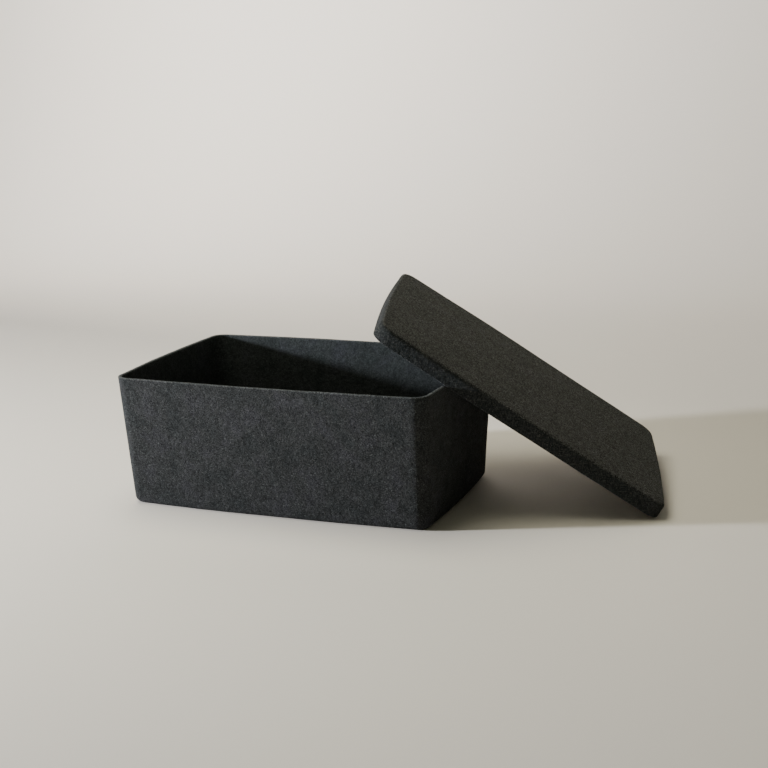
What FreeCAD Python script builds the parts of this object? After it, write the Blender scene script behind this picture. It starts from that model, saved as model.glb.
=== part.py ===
import FreeCAD, Part
import math
import os

from FreeCAD import Placement, Rotation, Vector

# Archival storage box of moulded felt: an open tapered box and its shallow lift-off lid.
# Millimetres, +Z up, +X along the length. The origin is the middle of the box's underside.

# ---- the box ----
rim_length = 355.0        # over the rim, at the middle of the two ends
rim_width = 255.0         # over the rim, at the middle of the two long sides
box_height = 143.0
wall = 4.0                # felt thickness of the box's sides
base_thickness = 4.0
taper_ends = 5.0          # how far each end leans in from the rim to the base
taper_sides = 16.0        # how far each long side leans in from the rim to the base
bow_sides = 5.2           # how far a long side bulges past its corners; more than 0
bow_ends = 3.8            # the same for an end; more than 0
rim_corner_radius = 16.5  # corners seen from above, at the rim
base_edge_radius = 7.0    # rounding between the sides and the base, outside
base_corner_extra = 7.0   # how much rounder than that edge the base's corners are, from above

# ---- the lid ----
lid_depth = 16.5
lid_wall = 4.0            # felt thickness of the skirt
lid_top_thickness = 4.0
lid_overhang = 0.0        # how far the closed lid stands out past the rim, all round
lid_taper = 0.5           # how far the skirt leans in from its edge to its top
lid_edge_radius = 4.0     # rounding between the skirt and the top, outside

# ---- edges and fits ----
cut_edge_radius = 0.8     # softened cut edge of the felt, on the rim and on the skirt
inner_edge_min = 1.0      # smallest rounding inside a moulded edge
resting_gap = 0.35        # space left where the leaning lid comes to rest on the rim

# ---- where the lid leans ----
lean_turn = 16.5          # degrees its low end is turned towards the back
lean_reach = 46.0         # from the right-hand rim out to the middle of the lid
lean_shift = 78.0         # from the box's centre line back to the middle of the lid
lean_pitch_guess = 34.0   # degrees; the resting slopes are worked out from these
lean_roll_guess = 5.0

# ---- how finely the resting place is worked out ----
corner_steps = 60         # points tried along a corner when looking for where it touches
solve_rounds = 12
halvings = 50             # for finding where the skirt crosses the rim
small_step = 0.01         # degrees or mm, for measuring how a contact changes


def bowed_circle(half_span, half_size, bow):
    """Radius of the shallow arc of one side, and how far its centre lies from the middle."""
    radius = (half_span ** 2 + bow ** 2) / (2 * bow)
    return radius, half_size - radius


class Outline:
    """Rounded rectangle with slightly bulging sides, drawn as eight arcs that run into each other.

    length and width are measured where the sides bulge most, and inset draws it parallel and
    smaller."""

    def __init__(self, length, width, corner_radius, inset=0.0):
        side_radius, side_y = bowed_circle(length / 2, width / 2, bow_sides)
        end_radius, end_x = bowed_circle(width / 2, length / 2, bow_ends)
        self.side_centre = Vector(0, side_y, 0)
        self.end_centre = Vector(end_x, 0, 0)
        self.corner_centre = self.meeting_point(side_radius - corner_radius,
                                                end_radius - corner_radius)
        self.side_radius = side_radius - inset
        self.end_radius = end_radius - inset
        self.corner_radius = corner_radius - inset

    def meeting_point(self, side_reach, end_reach):
        """Centre of the corner that is tangent to the side's arc and to the end's arc."""
        across = self.end_centre - self.side_centre
        distance = across.Length
        along = (side_reach ** 2 - end_reach ** 2 + distance ** 2) / (2 * distance)
        off = math.sqrt(side_reach ** 2 - along ** 2)
        unit = Vector(across).normalize()
        square = Vector(-unit.y, unit.x, 0)
        if square.x < 0:
            square = -square
        return self.side_centre + unit * along + square * off

    def corner_point(self, share):
        """Point on the corner at +X +Y; share runs from 0 at the end to 1 at the long side."""
        from_end = self.corner_centre - self.end_centre
        from_side = self.corner_centre - self.side_centre
        first = math.atan2(from_end.y, from_end.x)
        last = math.atan2(from_side.y, from_side.x)
        angle = first + (last - first) * share
        return self.corner_centre + Vector(math.cos(angle), math.sin(angle), 0) * self.corner_radius

    def side_point(self, x):
        """Point on the long side at +Y, at this x."""
        rise = math.sqrt(self.side_radius ** 2 - x ** 2)
        return self.side_centre + Vector(x, rise, 0)

    def past_end(self, point):
        """How far this point lies outside the end at +X, seen from above."""
        return math.hypot(point.x - self.end_centre.x, point.y) - self.end_radius

    def wire(self, z):
        """The whole outline at height z."""
        end_middle = self.end_centre + Vector(self.end_radius, 0, 0)
        side_middle = self.side_centre + Vector(0, self.side_radius, 0)
        corner = [self.corner_point(share) for share in (0, 0.5, 1)]

        def flipped(point, sx, sy):
            return Vector(point.x * sx, point.y * sy, z)

        edges = []
        for sx, sy in ((1, 1), (-1, 1), (-1, -1), (1, -1)):
            forward = sx * sy > 0
            points = corner if forward else corner[::-1]
            edges.append([flipped(p, sx, sy) for p in points])
            start = edges[-1][2]
            if forward:
                edges.append([start, flipped(side_middle, sx, sy), flipped(corner[2], -sx, sy)])
            else:
                edges.append([start, flipped(end_middle, sx, sy), flipped(corner[0], sx, -sy)])
        return Part.Wire([Part.Arc(*three).toShape() for three in edges])


def edges_at(solid, z):
    """The edges of a solid that lie flat at height z."""
    box_at = [(edge, edge.BoundBox) for edge in solid.Edges]
    return [edge for edge, box in box_at if abs(box.ZMin - z) < 1e-3 and abs(box.ZMax - z) < 1e-3]


def tray(outside_low, outside_high, inside_low, inside_high, height, floor, edge_radius, thickness):
    """Moulded tray standing on its closed side: two outlines for the outside, two for the hollow."""
    outside = Part.makeLoft([outside_low.wire(0), outside_high.wire(height)], True, True)
    outside = outside.makeFillet(edge_radius, edges_at(outside, 0))
    hollow = Part.makeLoft([inside_low.wire(floor), inside_high.wire(height)], True, True)
    inner_radius = max(edge_radius - thickness, inner_edge_min)
    hollow = hollow.makeFillet(inner_radius, edges_at(hollow, floor))
    shell = outside.cut(hollow)
    return shell.makeFillet(cut_edge_radius, edges_at(shell, height))


# ---- outlines ----
base_length = rim_length - 2 * taper_ends
base_width = rim_width - 2 * taper_sides
rim_outside = Outline(rim_length, rim_width, rim_corner_radius)
rim_inside = Outline(rim_length, rim_width, rim_corner_radius, wall)
base_corner_radius = base_edge_radius + base_corner_extra
base_outside = Outline(base_length, base_width, base_corner_radius)
base_inside = Outline(base_length, base_width, base_corner_radius, wall)

skirt_length = rim_length + 2 * lid_overhang
skirt_width = rim_width + 2 * lid_overhang
skirt_corner_radius = rim_corner_radius + lid_overhang
skirt_outside = Outline(skirt_length, skirt_width, skirt_corner_radius)
skirt_inside = Outline(skirt_length, skirt_width, skirt_corner_radius, lid_wall)
top_outside = Outline(skirt_length, skirt_width, skirt_corner_radius, lid_taper)
top_inside = Outline(skirt_length, skirt_width, skirt_corner_radius, lid_taper + lid_wall)


# The middles of the softened edges' roundings, where the two shells can touch.
rim_edge = Outline(rim_length, rim_width, rim_corner_radius, cut_edge_radius)
skirt_edge = Outline(skirt_length, skirt_width, skirt_corner_radius, cut_edge_radius)
skirt_inner_edge = Outline(skirt_length, skirt_width, skirt_corner_radius, lid_wall - cut_edge_radius)


# ---- how the leaning lid comes to rest ----
# It touches at three places: its low front corner on the table, the front of its skirt on the
# right-hand rim, and its top's underside on the back right corner of the rim.
def lid_placement(pitch, roll, height):
    """The lid's own frame has its skirt's edge at z = 0 and its top at z = lid_depth."""
    turned = Rotation(lean_turn, pitch, roll)
    top_middle = Vector(rim_length / 2 + lean_reach, lean_shift, height)
    return Placement(top_middle - turned.multVec(Vector(0, 0, lid_depth)), turned)


def corner_points(outline, sx, sy, z):
    """Points along one corner at height z, with the signs that pick which corner."""
    points = [outline.corner_point(k / corner_steps) for k in range(corner_steps + 1)]
    return [Vector(p.x * sx, p.y * sy, z) for p in points]


def front_point(edge, placed, x):
    """Point of one of the skirt's edges, on its front side, where the lid is placed."""
    point = edge.side_point(x)
    return placed.multVec(Vector(point.x, -point.y, cut_edge_radius))


def table_contact(placed):
    """Height of the lid's low front corner above the table."""
    corner = corner_points(skirt_edge, 1, -1, cut_edge_radius)
    return min(placed.multVec(p).z for p in corner) - cut_edge_radius


def edge_over_rim(edge, placed):
    """Distance between one edge of the front skirt and the right-hand rim, where they cross."""
    low, high = -skirt_length / 2, skirt_length / 2
    for _ in range(halvings):
        middle = (low + high) / 2
        if rim_edge.past_end(front_point(edge, placed, middle)) > 0:
            high = middle
        else:
            low = middle
    crossing = front_point(edge, placed, middle)
    along_skirt = front_point(edge, placed, middle + small_step) - crossing
    out_of_rim = crossing - rim_edge.end_centre
    along_rim = Vector(-out_of_rim.y, out_of_rim.x, 0)
    apart = abs(along_skirt.cross(along_rim).normalize().z)
    rise = crossing.z - (box_height - cut_edge_radius)
    return rise * apart - 2 * cut_edge_radius


def skirt_contact(placed):
    """Space between the front of the skirt and the right-hand rim, past the resting gap."""
    return min(edge_over_rim(edge, placed) for edge in (skirt_edge, skirt_inner_edge)) - resting_gap


def top_contact(placed):
    """Space between the underside of the lid's top and the rim's back corner, past the gap."""
    corner = corner_points(rim_edge, 1, 1, box_height - cut_edge_radius)
    back = placed.inverse()
    reached = max(back.multVec(p).z for p in corner) + cut_edge_radius
    return lid_depth - lid_top_thickness - reached - resting_gap


def contacts(values):
    placed = lid_placement(*values)
    return [table_contact(placed), skirt_contact(placed), top_contact(placed)]


def settle():
    """Pitch, roll and height at which all three contacts close, found by Newton's method."""
    values = [lean_pitch_guess, lean_roll_guess, box_height]
    for _ in range(solve_rounds):
        now = contacts(values)
        changes = []
        for k in range(3):
            nudged = list(values)
            nudged[k] += small_step
            changes.append([(after - before) / small_step
                            for before, after in zip(now, contacts(nudged))])
        slopes = FreeCAD.Matrix(*[changes[k][i] if k < 3 else 0 for i in range(3) for k in range(4)],
                                0, 0, 0, 1)
        correction = slopes.inverse().multVec(Vector(*now))
        values = [value - part for value, part in zip(values, correction)]
    return values


# ---- build ----
box_shell = tray(base_outside, rim_outside, base_inside, rim_inside,
                 box_height, base_thickness, base_edge_radius, wall)

lid_upside_down = tray(top_outside, skirt_outside, top_inside, skirt_inside,
                       lid_depth, lid_top_thickness, lid_edge_radius, lid_wall)
lid_flipped = lid_upside_down.copy()
lid_flipped.rotate(Vector(0, 0, lid_depth / 2), Vector(1, 0, 0), 180)

lid_pitch, lid_roll, lid_height = settle()
print("lid rests at pitch %.2f, roll %.2f, middle of its top %.1f mm high"
      % (lid_pitch, lid_roll, lid_height))
lid_shell = lid_flipped.copy()
lid_shell.Placement = lid_placement(lid_pitch, lid_roll, lid_height).multiply(lid_flipped.Placement)

os.makedirs("parts", exist_ok=True)
for node, shape in (("box_shell", box_shell), ("lid_shell", lid_shell)):
    shape.exportStep("parts/%s.step" % node)
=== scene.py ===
import math

import bpy
import numpy as np
from mathutils import Matrix, Vector, noise


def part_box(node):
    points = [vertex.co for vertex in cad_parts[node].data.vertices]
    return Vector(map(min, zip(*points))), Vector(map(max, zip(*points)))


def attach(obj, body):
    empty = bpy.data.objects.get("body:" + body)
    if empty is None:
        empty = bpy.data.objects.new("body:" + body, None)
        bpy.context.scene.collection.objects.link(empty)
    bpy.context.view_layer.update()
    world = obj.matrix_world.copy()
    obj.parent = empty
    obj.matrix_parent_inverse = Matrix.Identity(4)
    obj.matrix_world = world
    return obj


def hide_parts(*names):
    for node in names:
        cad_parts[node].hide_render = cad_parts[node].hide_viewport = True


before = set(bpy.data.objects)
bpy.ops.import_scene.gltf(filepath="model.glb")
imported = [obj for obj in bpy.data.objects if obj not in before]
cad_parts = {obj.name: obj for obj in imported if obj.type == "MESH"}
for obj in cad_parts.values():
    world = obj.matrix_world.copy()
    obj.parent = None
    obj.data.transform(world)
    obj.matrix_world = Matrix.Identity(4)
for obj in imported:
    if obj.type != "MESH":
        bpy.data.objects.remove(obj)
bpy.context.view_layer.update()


# the felt itself, the same for the box and the lid; metres
felt = {
    "bowSides": 0.0052,      # how far a long side bulges past its corners
    "bowEnds": 0.0038,
    "wall": 0.0040,
    "cutEdge": 0.0008,       # rounding of the cut edge
    "step": 0.0034,          # size of the mesh's squares on the walls
    "wave": 0.00045,         # slow unevenness of the walls
    "waveSize": 0.085,
    "lump": 0.00011,         # small lumps of matted fibre
    "lumpSize": 0.011,
    "rimWander": 0.00022,    # how far the cut edge strays up and down
    "rimWanderSize": 0.030,
    "rimWanderReach": 0.012,
    "cornerSteps": 10,       # mesh squares round a corner
    "edgeSteps": 8,          # and over the closed edge, inside it and over the cut edge
    "innerSteps": 6,
    "cutSteps": 4,
    "innerEdgeMin": 0.0015,  # smallest rounding inside the closed edge
    "relaxRounds": 150,      # for the squares of the two flats
}

boxShell = {
    "taperEnds": 0.0050,     # how far the ends lean in from the rim to the base
    "taperSides": 0.0160,
    "openCorner": 0.0165,    # corner radius from above, at the rim
    "closedCorner": 0.0140,  # the same at the base
    "edgeRadius": 0.0070,    # between the walls and the base
    "floor": 0.0040,
    "crown": -0.0004,        # the base is hollowed a little, so it stands on its edge
    "seed": 3.1,
}

lidShell = {
    "taperEnds": 0.0005,
    "taperSides": 0.0005,
    "openCorner": 0.0165,
    "closedCorner": 0.0165,
    "edgeRadius": 0.0040,
    "floor": 0.0040,
    "crown": 0.0006,
    "seed": 17.4,
}


def arcPoints(centre, radius, first, last, count):
    angles = np.linspace(first, last, count, endpoint=False)
    return centre + radius * np.stack([np.cos(angles), np.sin(angles)], axis=1)


def quarterOutline(length, width, corner, inset, counts):
    # end, corner and side of one quarter: three arcs that run into each other
    sideRadius = ((length / 2) ** 2 + felt["bowSides"] ** 2) / (2 * felt["bowSides"])
    endRadius = ((width / 2) ** 2 + felt["bowEnds"] ** 2) / (2 * felt["bowEnds"])
    sideCentre = np.array([0, width / 2 - sideRadius])
    endCentre = np.array([length / 2 - endRadius, 0])
    across = endCentre - sideCentre
    far = np.hypot(*across)
    sideReach, endReach = sideRadius - corner, endRadius - corner
    along = (sideReach ** 2 - endReach ** 2 + far ** 2) / (2 * far)
    off = math.sqrt(sideReach ** 2 - along ** 2)
    unit = across / far
    cornerCentre = sideCentre + unit * along + np.array([unit[1], -unit[0]]) * off
    endTurn = math.atan2(*(cornerCentre - endCentre)[::-1])
    sideTurn = math.atan2(*(cornerCentre - sideCentre)[::-1])
    return np.vstack([
        arcPoints(endCentre, endRadius - inset, 0, endTurn, counts[0]),
        arcPoints(cornerCentre, corner - inset, endTurn, sideTurn, counts[1]),
        arcPoints(sideCentre, sideRadius - inset, sideTurn, math.pi / 2, counts[2]),
        [[0, sideCentre[1] + sideRadius - inset]],
    ])


def outlineRing(length, width, corner, inset, counts):
    # the whole outline, anticlockwise from the middle of the end at +X
    quarter = quarterOutline(length, width, corner, inset, counts)
    back = quarter[-2::-1] * [-1, 1]
    half = np.vstack([quarter, back])
    return np.vstack([half, half[-2:0:-1] * [1, -1]])


def rounding(radius, steps, falling=False):
    # inset and height along a quarter round that starts flat and ends upright
    turns = np.linspace(0, math.pi / 2, steps + 1)
    pairs = [(radius * (1 - math.sin(t)), radius * (1 - math.cos(t))) for t in turns]
    return pairs[::-1] if falling else pairs


def trayProfile(shell, depth):
    # (inset, height, part) from the closed side's flat, over the cut edge, to the inner flat;
    # the part is wall, flat, cut or inside
    edge, cut, wall, floor = shell["edgeRadius"], felt["cutEdge"], felt["wall"], shell["floor"]
    inner = max(edge - wall, felt["innerEdgeMin"])
    levels = max(2, round((depth - edge) / felt["step"]))
    walls = np.linspace(edge, depth - cut, levels + 1)[1:-1]
    innerWalls = np.linspace(depth - cut, floor + inner, levels + 1)[1:-1]
    steps = [(inset, z, "flat" if inset > edge / 3 else "wall")
             for inset, z in rounding(edge, felt["edgeSteps"])]
    steps += [(0, z, "wall") for z in walls]
    for inset, z in rounding(cut, felt["cutSteps"], falling=True):
        steps.append((inset, depth - z, "cut"))
    steps += [(wall * share, depth, "cut") for share in (0.35, 0.5, 0.65)]
    for inset, z in rounding(cut, felt["cutSteps"]):
        steps.append((wall - inset, depth - z, "cut"))
    steps += [(wall, z, "inside") for z in innerWalls]
    for inset, z in rounding(inner, felt["innerSteps"], falling=True):
        steps.append((wall + inset, floor + z, "inside"))
    return steps


def coonsPatch(ring, counts):
    # fills a ring with a grid whose corners lie in the middle of the ring's rounded corners
    end, corner, side = counts
    start = end + corner // 2
    ends, sides = 2 * start, 2 * (corner - corner // 2 + side)
    total = len(ring)
    top = [(start + k) % total for k in range(sides + 1)]
    left = [(start + sides + k) % total for k in range(ends + 1)]
    bottom = [(start + sides + ends + k) % total for k in range(sides + 1)]
    right = [(start + 2 * sides + ends + k) % total for k in range(ends + 1)]
    u = np.linspace(0, 1, sides + 1)[:, None, None]
    v = np.linspace(0, 1, ends + 1)[None, :, None]
    upper, lower = ring[top][:, None], ring[bottom[::-1]][:, None]
    near, away = ring[right[::-1]][None], ring[left][None]
    grid = (1 - v) * upper + v * lower + (1 - u) * near + u * away
    grid -= (1 - u) * (1 - v) * ring[top[0]] + u * (1 - v) * ring[top[-1]]
    grid -= (1 - u) * v * ring[bottom[-1]] + u * v * ring[bottom[0]]
    # let the squares relax, or the ones in the rounded corners would be flattened
    for _ in range(felt["relaxRounds"]):
        grid[1:-1, 1:-1] = (grid[:-2, 1:-1] + grid[2:, 1:-1] + grid[1:-1, :-2] + grid[1:-1, 2:]) / 4
    edges = {}
    for k, index in enumerate(top):
        edges[k, 0] = index
    for k, index in enumerate(left):
        edges[sides, k] = index
    for k, index in enumerate(bottom[::-1]):
        edges[k, ends] = index
    for k, index in enumerate(right[::-1]):
        edges[0, k] = index
    return grid, edges


def trayMesh(shell, length, width, depth):
    # points, faces and each face's part, standing on the closed side with the open side up
    profile = trayProfile(shell, depth)
    counts = (round(width / 2 / felt["step"]), felt["cornerSteps"],
              round(length / 2 / felt["step"]))
    points, faces, parts = [], [], []
    for inset, z, part in profile:
        share = z / depth
        ring = outlineRing(
            length - 2 * shell["taperEnds"] * (1 - share),
            width - 2 * shell["taperSides"] * (1 - share),
            shell["closedCorner"] + (shell["openCorner"] - shell["closedCorner"]) * share,
            inset, counts,
        )
        points.append(np.column_stack([ring, np.full(len(ring), z)]))
    around = len(points[0])
    for level in range(len(points) - 1):
        low, high = level * around, (level + 1) * around
        for k in range(around):
            after = (k + 1) % around
            faces.append((low + k, low + after, high + after, high + k))
            parts.append(profile[level][2] if profile[level][2] != "cut" else profile[level + 1][2])
    for level, part, upwards in ((0, "flat", False), (len(points) - 1, "inside", True)):
        grid, edges = coonsPatch(points[level], counts)
        first = sum(len(block) for block in points)
        names, extra = {}, []
        for i in range(grid.shape[0]):
            for j in range(grid.shape[1]):
                if (i, j) in edges:
                    names[i, j] = level * around + edges[i, j]
                else:
                    names[i, j] = first + len(extra)
                    extra.append(grid[i, j])
        for i in range(grid.shape[0] - 1):
            for j in range(grid.shape[1] - 1):
                face = (names[i, j], names[i + 1, j], names[i + 1, j + 1], names[i, j + 1])
                faces.append(face if upwards else face[::-1])
                parts.append(part)
        points.append(np.array(extra))
    return np.vstack(points), faces, parts


def unevenness(point, normal, depth, seed):
    # how far the felt strays from the plain tray at this point
    place = Vector(point) + Vector((seed, 0, 0))
    slow = noise.noise(place / felt["waveSize"]) * felt["wave"]
    lump = noise.noise(place / felt["lumpSize"]) * felt["lump"]
    near = max(0.0, 1 - (depth - point[2]) / felt["rimWanderReach"])
    stray = noise.noise(Vector((place.x, place.y, seed)) / felt["rimWanderSize"])
    return normal * (slow + lump) + Vector((0, 0, stray * felt["rimWander"] * near * near))


def feltTray(name, shell, length, width, depth, materials):
    points, faces, parts = trayMesh(shell, length, width, depth)
    mesh = bpy.data.meshes.new(name)
    mesh.from_pydata([tuple(p) for p in points], [], faces)
    mesh.update()
    normals = [v.normal.copy() for v in mesh.vertices]
    for vertex, normal in zip(mesh.vertices, normals):
        inwards = (max(0, 1 - (2 * vertex.co.x / length) ** 2)
                   * max(0, 1 - (2 * vertex.co.y / width) ** 2))
        vertex.co += unevenness(vertex.co, normal, depth, shell["seed"])
        vertex.co.z -= shell["crown"] * inwards
    for material in materials:
        mesh.materials.append(material)
    for face, part in zip(mesh.polygons, parts):
        face.material_index = ("wall", "flat", "cut", "inside").index(part)
        face.use_smooth = True
    piece = bpy.data.objects.new(name, mesh)
    bpy.context.collection.objects.link(piece)
    return piece


boxLow, boxHigh = (Vector(corner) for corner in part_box("box_shell"))
boxSize = boxHigh - boxLow

# how each face's felt looks; the shades are linear colours
boxFelt = {
    "shades": [(0.0344, 0.0376, 0.0398), (0.0368, 0.0386, 0.0404), (0.0374, 0.0382, 0.0430)],
    "baseShade": 0.82,       # painted-in shading at the base and at the rim; 1 is none
    "rimShade": 1.10,
    "clumpDepth": 0.16,      # how much each kind of unevenness darkens and pales it
    "cloudDepth": 0.14,
    "tuftDepth": 0.09,
    "mottleDepth": 0.25,
    "bundleDepth": 0.12,     # drawn-out bundles of fibre
    "speckDepth": 0.80,
    "strands": 0.60,         # how strongly the fibres lying along the surface show
    "strandsFrom": 0.70,     # lower shows more of them
    "strandSize": 1.0,
    "endShade": 1.0,         # painted-in shading of the two ends; 1 is none
    "endFrom": 0.162,        # where that begins and where it is full, from the middle
    "endFull": 0.175,
    "paleFibre": (0.125, 0.137, 0.138),
    "darkFibre": (0.006, 0.007, 0.008),
    "endsShare": 0.6,        # how strongly the fibres seen end on show
    "sheen": 0.015,
    "sheenTint": (0.75, 0.80, 0.90),
    "roughness": 0.92,
    "bump": 0.55,
    "bumpHeight": 0.0008,
    "diffuseRoughness": 0.7,
    "specular": 0.04,
    "sheenRoughness": 0.45,
}
lidFelt = dict(
    boxFelt,
    shades=[(0.0272, 0.0294, 0.0304), (0.0290, 0.0302, 0.0318), (0.0300, 0.0301, 0.0338)],
    baseShade=1.0, rimShade=1.0,
    tuftDepth=0.14, mottleDepth=0.40, speckDepth=0.75, bundleDepth=0.65, strands=1.0,
    strandsFrom=0.60, strandSize=1.6, endsShare=0.9,
    paleFibre=(0.152, 0.155, 0.150), sheenTint=(0.90, 0.88, 0.84),
)
# the lid's skirt, with painted shade on its two ends at 0.58 of its sides
skirtFelt = dict(
    lidFelt,
    shades=[(0.0245, 0.0290, 0.0305), (0.0262, 0.0292, 0.0305), (0.0265, 0.0285, 0.0322)],
    tuftDepth=0.10, mottleDepth=0.18, speckDepth=0.42, bundleDepth=0.16, strands=0.35,
    endsShare=0.5, endShade=0.58,
)
# painted shade: from a little above its shades at the rim, the inside fades down to a quarter of them at
# the floor, so that it looks deep
insideFelt = dict(
    boxFelt,
    shades=[(0.0300, 0.0358, 0.0372), (0.0325, 0.0370, 0.0388), (0.0335, 0.0366, 0.0420)],
    baseShade=0.25, rimShade=1.12, mottleDepth=0.20, speckDepth=0.35, endsShare=0.3, strands=0.3,
)
# the cut edge along the rim: its shades and pale fibres are paler than the walls', a painted highlight
# where the rim catches the light
cutFelt = dict(
    boxFelt,
    shades=[(0.056, 0.062, 0.065), (0.061, 0.066, 0.069), (0.061, 0.064, 0.071)],
    paleFibre=(0.250, 0.262, 0.270), bump=0.8,
)

# sizes of what the felt shows, per metre
feltGrain = {
    "cloud": 34.0,
    "clump": 105.0,
    "tuft": 250.0,
    "mottle": 560.0,
    "speck": 1200.0,
    "fleck": 800.0,
    "fibreAlong": 190.0,
    "fibreAcross": 1400.0,
    "bundleAlong": 62.0,
    "bundleAcross": 500.0,
}
fibreTurns = [(0.35, 0.25, 0.9), (-0.6, 0.5, -0.35), (0.9, -0.8, 2.1), (1.5, 0.4, -1.2)]


def node(tree, kind, **settings):
    made = tree.nodes.new(kind)
    for name, value in settings.items():
        setattr(made, name, value)
    return made


def plug(tree, source, target):
    tree.links.new(source, target)


def noiseLayer(tree, coordinates, scale, detail, rough):
    layer = node(tree, "ShaderNodeTexNoise")
    layer.inputs["Scale"].default_value = scale
    layer.inputs["Detail"].default_value = detail
    layer.inputs["Roughness"].default_value = rough
    plug(tree, coordinates, layer.inputs["Vector"])
    return layer.outputs["Fac"]


def remap(tree, value, low, high, toLow, toHigh):
    ranged = node(tree, "ShaderNodeMapRange")
    for name, number in (("From Min", low), ("From Max", high), ("To Min", toLow), ("To Max", toHigh)):
        ranged.inputs[name].default_value = number
    plug(tree, value, ranged.inputs["Value"])
    return ranged.outputs["Result"]


def combine(tree, operation, first, second):
    sums = node(tree, "ShaderNodeMath", operation=operation)
    for socket, value in zip(sums.inputs, (first, second)):
        if isinstance(value, (int, float)):
            socket.default_value = value
        else:
            plug(tree, value, socket)
    return sums.outputs[0]


def blendColours(tree, share, first, second):
    mixed = node(tree, "ShaderNodeMix", data_type="RGBA")
    # inputs 6 and 7 are the two colours
    for socket, value in zip((mixed.inputs[0], *mixed.inputs[6:8]), (share, first, second)):
        if isinstance(value, (int, float)):
            socket.default_value = value
        elif isinstance(value, tuple):
            socket.default_value = (*value, 1)
        else:
            plug(tree, value, socket)
    return mixed.outputs[2]


def streakLayer(tree, coordinates, turn, along, across):
    # long thin streaks lying one way
    turned = node(tree, "ShaderNodeMapping")
    turned.inputs["Rotation"].default_value = turn
    plug(tree, coordinates, turned.inputs["Vector"])
    drawn = node(tree, "ShaderNodeMapping")
    drawn.inputs["Scale"].default_value = (along, across, across)
    plug(tree, turned.outputs[0], drawn.inputs["Vector"])
    return noiseLayer(tree, drawn.outputs[0], 1.0, 1.0, 0.5)


def strongest(tree, layers):
    highest = layers[0]
    for layer in layers[1:]:
        highest = combine(tree, "MAXIMUM", highest, layer)
    return highest


def strands(tree, coordinates, kind, size):
    along, across = feltGrain[kind + "Along"] / size, feltGrain[kind + "Across"] / size
    return strongest(tree, [streakLayer(tree, coordinates, turn, along, across) for turn in fibreTurns])


def dyedColour(tree, look, cloud):
    # three close shades of dyed fibre, drifting over the surface
    first, second, third = look["shades"]
    colour = blendColours(tree, remap(tree, cloud, 0.36, 0.50, 0, 1), first, second)
    return blendColours(tree, remap(tree, cloud, 0.50, 0.64, 0, 1), colour, third)


def feltShade(tree, look, layers, coordinates):
    # how much paler or darker than its dye the felt is, with the painted-in shading last
    shade = 1.0
    for name, low, high in (("clump", 0.25, 0.75), ("cloud", 0.30, 0.70), ("bundle", 0.46, 0.74),
                            ("tuft", 0.25, 0.75), ("mottle", 0.25, 0.75), ("speck", 0.25, 0.75)):
        depth = look[name + "Depth"]
        shade = combine(tree, "MULTIPLY", shade, remap(tree, layers[name], low, high, 1 - depth, 1 + depth))
    apart = node(tree, "ShaderNodeSeparateXYZ")
    plug(tree, coordinates, apart.inputs[0])
    if look["baseShade"] != look["rimShade"]:
        byHeight = remap(tree, apart.outputs["Z"], 0.0, boxSize.z, look["baseShade"], look["rimShade"])
        shade = combine(tree, "MULTIPLY", shade, byHeight)
    if look["endShade"] != 1.0:
        outwards = combine(tree, "ABSOLUTE", apart.outputs["X"], 0)
        ends = remap(tree, outwards, look["endFrom"], look["endFull"], 1.0, look["endShade"])
        shade = combine(tree, "MULTIPLY", shade, ends)
    return shade


def feltBump(tree, look, layers):
    height = 0.0
    for name, weight in (("tuft", 1.2), ("mottle", 0.7), ("speck", 0.4), ("fibre", 0.5)):
        height = combine(tree, "ADD", height, combine(tree, "MULTIPLY", layers[name], weight))
    bump = node(tree, "ShaderNodeBump")
    bump.inputs["Strength"].default_value = look["bump"]
    bump.inputs["Distance"].default_value = look["bumpHeight"]
    plug(tree, height, bump.inputs["Height"])
    return bump.outputs[0]


def feltMaterial(name, look):
    material = bpy.data.materials.new(name)
    material.use_nodes = True
    tree = material.node_tree
    shader = tree.nodes["Principled BSDF"]
    coordinates = node(tree, "ShaderNodeTexCoord").outputs["Object"]
    layers = {
        kind: noiseLayer(tree, coordinates, feltGrain[kind], detail, rough)
        for kind, detail, rough in (("cloud", 4.0, 0.6), ("clump", 1.0, 0.5), ("tuft", 0.0, 0.5),
                                    ("mottle", 0.0, 0.5), ("speck", 1.0, 0.6), ("fleck", 0.0, 0.5))
    }
    layers["fibre"] = strands(tree, coordinates, "fibre", look["strandSize"])
    layers["bundle"] = strands(tree, coordinates, "bundle", 1.0)

    scaled = node(tree, "ShaderNodeVectorMath", operation="SCALE")
    plug(tree, dyedColour(tree, look, layers["cloud"]), scaled.inputs[0])
    plug(tree, feltShade(tree, look, layers, coordinates), scaled.inputs["Scale"])
    # single pale fibres, some seen end on and some lying along the surface, and dark pits between
    ends = remap(tree, layers["fleck"], 0.68, 0.82, 0, look["endsShare"])
    least = look["strandsFrom"]
    lying = remap(tree, layers["fibre"], least, least + 0.16, 0, look["strands"])
    colour = blendColours(tree, combine(tree, "MAXIMUM", ends, lying), scaled.outputs[0], look["paleFibre"])
    pits = remap(tree, layers["speck"], 0.36, 0.24, 0, 0.7)
    colour = blendColours(tree, pits, colour, look["darkFibre"])
    plug(tree, colour, shader.inputs["Base Color"])
    plug(tree, feltBump(tree, look, layers), shader.inputs["Normal"])

    shader.inputs["Roughness"].default_value = look["roughness"]
    shader.inputs["Diffuse Roughness"].default_value = look["diffuseRoughness"]
    shader.inputs["Specular IOR Level"].default_value = look["specular"]
    shader.inputs["Sheen Weight"].default_value = look["sheen"]
    shader.inputs["Sheen Roughness"].default_value = look["sheenRoughness"]
    shader.inputs["Sheen Tint"].default_value = (*look["sheenTint"], 1)
    return material


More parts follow.
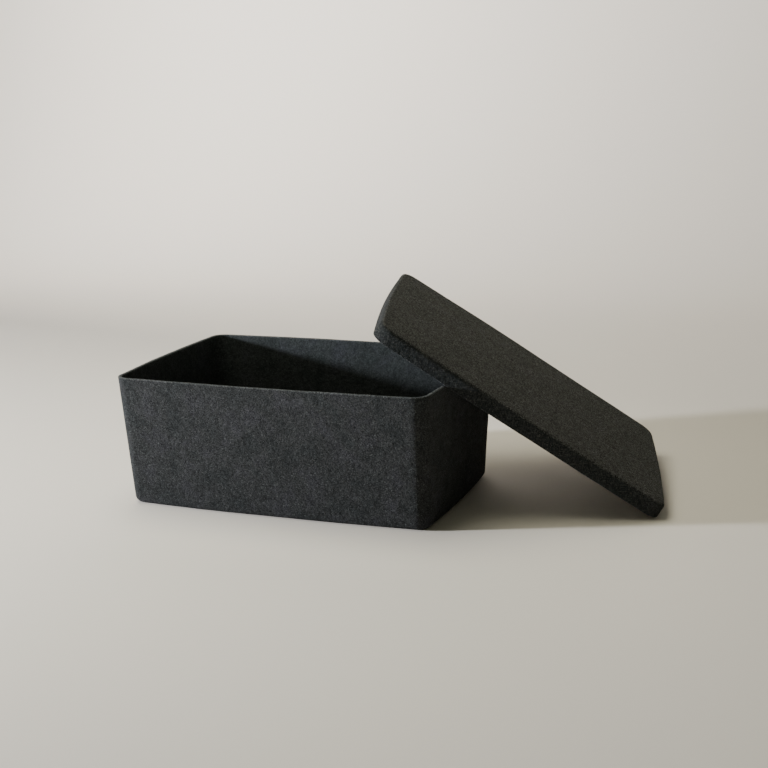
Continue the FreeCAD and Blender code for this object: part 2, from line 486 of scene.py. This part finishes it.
boxFeltMaterial = feltMaterial("charcoalBoxFelt", boxFelt)
insideFeltMaterial = feltMaterial("charcoalInsideFelt", insideFelt)
lidFeltMaterial = feltMaterial("charcoalLidFelt", lidFelt)
skirtFeltMaterial = feltMaterial("charcoalSkirtFelt", skirtFelt)
cutFeltMaterial = feltMaterial("cutFeltEdge", cutFelt)
print("felt materials made")

box = feltTray("boxShell", boxShell, *boxSize,
               [boxFeltMaterial, boxFeltMaterial, cutFeltMaterial, insideFeltMaterial])
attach(box, "box")
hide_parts("box_shell")
print("box made,", len(box.data.polygons), "faces")


def leaningFrame(solid):
    # the lid's own axes and sizes, read from its solid: the top's normal, then the long sides'
    mesh = solid.data
    normals = np.array([face.normal for face in mesh.polygons])
    areas = np.array([face.area for face in mesh.polygons])
    spread = (normals * areas[:, None]).T @ normals
    values, vectors = np.linalg.eigh(spread)
    along, across, up = (vectors[:, k] for k in np.argsort(values))
    up = up * np.sign(up[2])
    along = along * -np.sign(along[2])
    across = np.cross(up, along)
    axes = np.stack([along, across, up], axis=1)
    local = np.array([vertex.co for vertex in mesh.vertices]) @ axes
    low, high = local.min(axis=0), local.max(axis=0)
    origin = axes @ np.array([(low[0] + high[0]) / 2, (low[1] + high[1]) / 2, low[2]])
    placed = Matrix([[*axes[row], origin[row]] for row in range(3)] + [[0, 0, 0, 1]])
    return placed, high - low


leaning, lidSize = leaningFrame(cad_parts["lid_shell"])
lid = feltTray("lidShell", lidShell, *lidSize,
               [skirtFeltMaterial, lidFeltMaterial, cutFeltMaterial, lidFeltMaterial])
turnOver = Matrix.Translation((0, 0, lidSize[2])) @ Matrix.Rotation(math.pi, 4, "X")
lid.data.transform(turnOver)
lid.matrix_world = leaning
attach(lid, "lid")
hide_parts("lid_shell")
print("lid made,", len(lid.data.polygons), "faces")


# the pale floor, which bends up into the back wall
room = {
    "floorColour": (0.755, 0.71, 0.65),
    "depth": 2.2,
    "height": 2.4,
    "bend": 1.1,
    "halfWidth": 3.0,
    "front": -2.5,
    "bendSteps": 16,
    "roughness": 0.85,
}


def roomMaterial():
    material = bpy.data.materials.new("paleRoom")
    material.use_nodes = True
    shader = material.node_tree.nodes["Principled BSDF"]
    shader.inputs["Base Color"].default_value = (*room["floorColour"], 1)
    shader.inputs["Roughness"].default_value = room["roughness"]
    return material


def makeRoom():
    profile = [(room["front"], 0.0), (room["depth"] - room["bend"], 0.0)]
    for k in range(1, room["bendSteps"] + 1):
        turn = math.pi / 2 * k / room["bendSteps"]
        profile.append((room["depth"] - room["bend"] + room["bend"] * math.sin(turn),
                        room["bend"] * (1 - math.cos(turn))))
    profile.append((room["depth"], room["height"]))
    points = [(side * room["halfWidth"], y, z) for side in (-1, 1) for y, z in profile]
    count = len(profile)
    faces = [(k, k + count, k + count + 1, k + 1) for k in range(count - 1)]
    mesh = bpy.data.meshes.new("paleRoom")
    mesh.from_pydata(points, [], faces)
    mesh.materials.append(roomMaterial())
    for face in mesh.polygons:
        face.use_smooth = True
    sweep = bpy.data.objects.new("paleRoom", mesh)
    bpy.context.collection.objects.link(sweep)


makeRoom()

# angles in degrees round the object, distances in metres
lights = {
    "key": {"azimuth": -63.2, "elevation": 9.8, "distance": 2.2, "size": 0.14, "power": 116,
            "colour": (0.94, 0.96, 1.0)},
    "fill": {"azimuth": -80, "elevation": 70, "distance": 0.98, "size": 0.80, "power": 9.0,
             "colour": (0.97, 0.94, 0.75)},
}
skyColour = (0.94, 0.96, 0.72)
skyStrength = 0.12


def fromObject(azimuth, elevation, distance, target):
    # azimuth 0 is in front of the object, positive towards +X
    a, e = math.radians(azimuth), math.radians(elevation)
    away = Vector((math.sin(a) * math.cos(e), -math.cos(a) * math.cos(e), math.sin(e)))
    return target + away * distance, away


def softLight(name, look, target):
    data = bpy.data.lights.new(name, "AREA")
    data.shape = "DISK"
    data.size = look["size"]
    data.energy = look["power"]
    data.color = look["colour"]
    lamp = bpy.data.objects.new(name, data)
    bpy.context.collection.objects.link(lamp)
    lamp.location, away = fromObject(look["azimuth"], look["elevation"], look["distance"], target)
    lamp.rotation_mode = "QUATERNION"
    lamp.rotation_quaternion = away.to_track_quat("Z", "Y")


lightsTarget = Vector((0.08, 0.03, 0.08))
for name, look in lights.items():
    softLight(name + "Light", look, lightsTarget)
# stands behind and to the left of the object, turned to the back wall
wallLight = {"azimuth": -12, "elevation": 8, "distance": 0.0, "size": 1.2, "power": 40,
             "colour": (1.0, 0.96, 0.90)}
wallLightPlace = Vector((-1.1, 1.0, 1.25))
softLight("wallLight", wallLight, wallLightPlace)
world = bpy.data.worlds.new("room")
bpy.context.scene.world = world
world.use_nodes = True
sky = world.node_tree.nodes["Background"]
sky.inputs["Color"].default_value = (*skyColour, 1)
sky.inputs["Strength"].default_value = skyStrength

camera = {
    "target": (0.0995, -0.0359, 0.1336),
    "azimuth": 20.734,
    "elevation": 13.164,
    "roll": -1.203,
    "distance": 1.5564,
    "lens": 69.58,
    "sensor": 36.0,
}


def makeCamera():
    data = bpy.data.cameras.new("view")
    data.lens, data.sensor_width = camera["lens"], camera["sensor"]
    data.clip_start, data.clip_end = 0.05, 20
    viewer = bpy.data.objects.new("view", data)
    bpy.context.collection.objects.link(viewer)
    viewer.location, away = fromObject(camera["azimuth"], camera["elevation"],
                                       camera["distance"], Vector(camera["target"]))
    roll = Matrix.Rotation(math.radians(camera["roll"]), 3, "Z")
    turn = away.to_track_quat("Z", "Y").to_matrix() @ roll
    viewer.rotation_mode = "QUATERNION"
    viewer.rotation_quaternion = turn.to_quaternion()
    bpy.context.scene.camera = viewer


makeCamera()
print("room, lights and camera made")
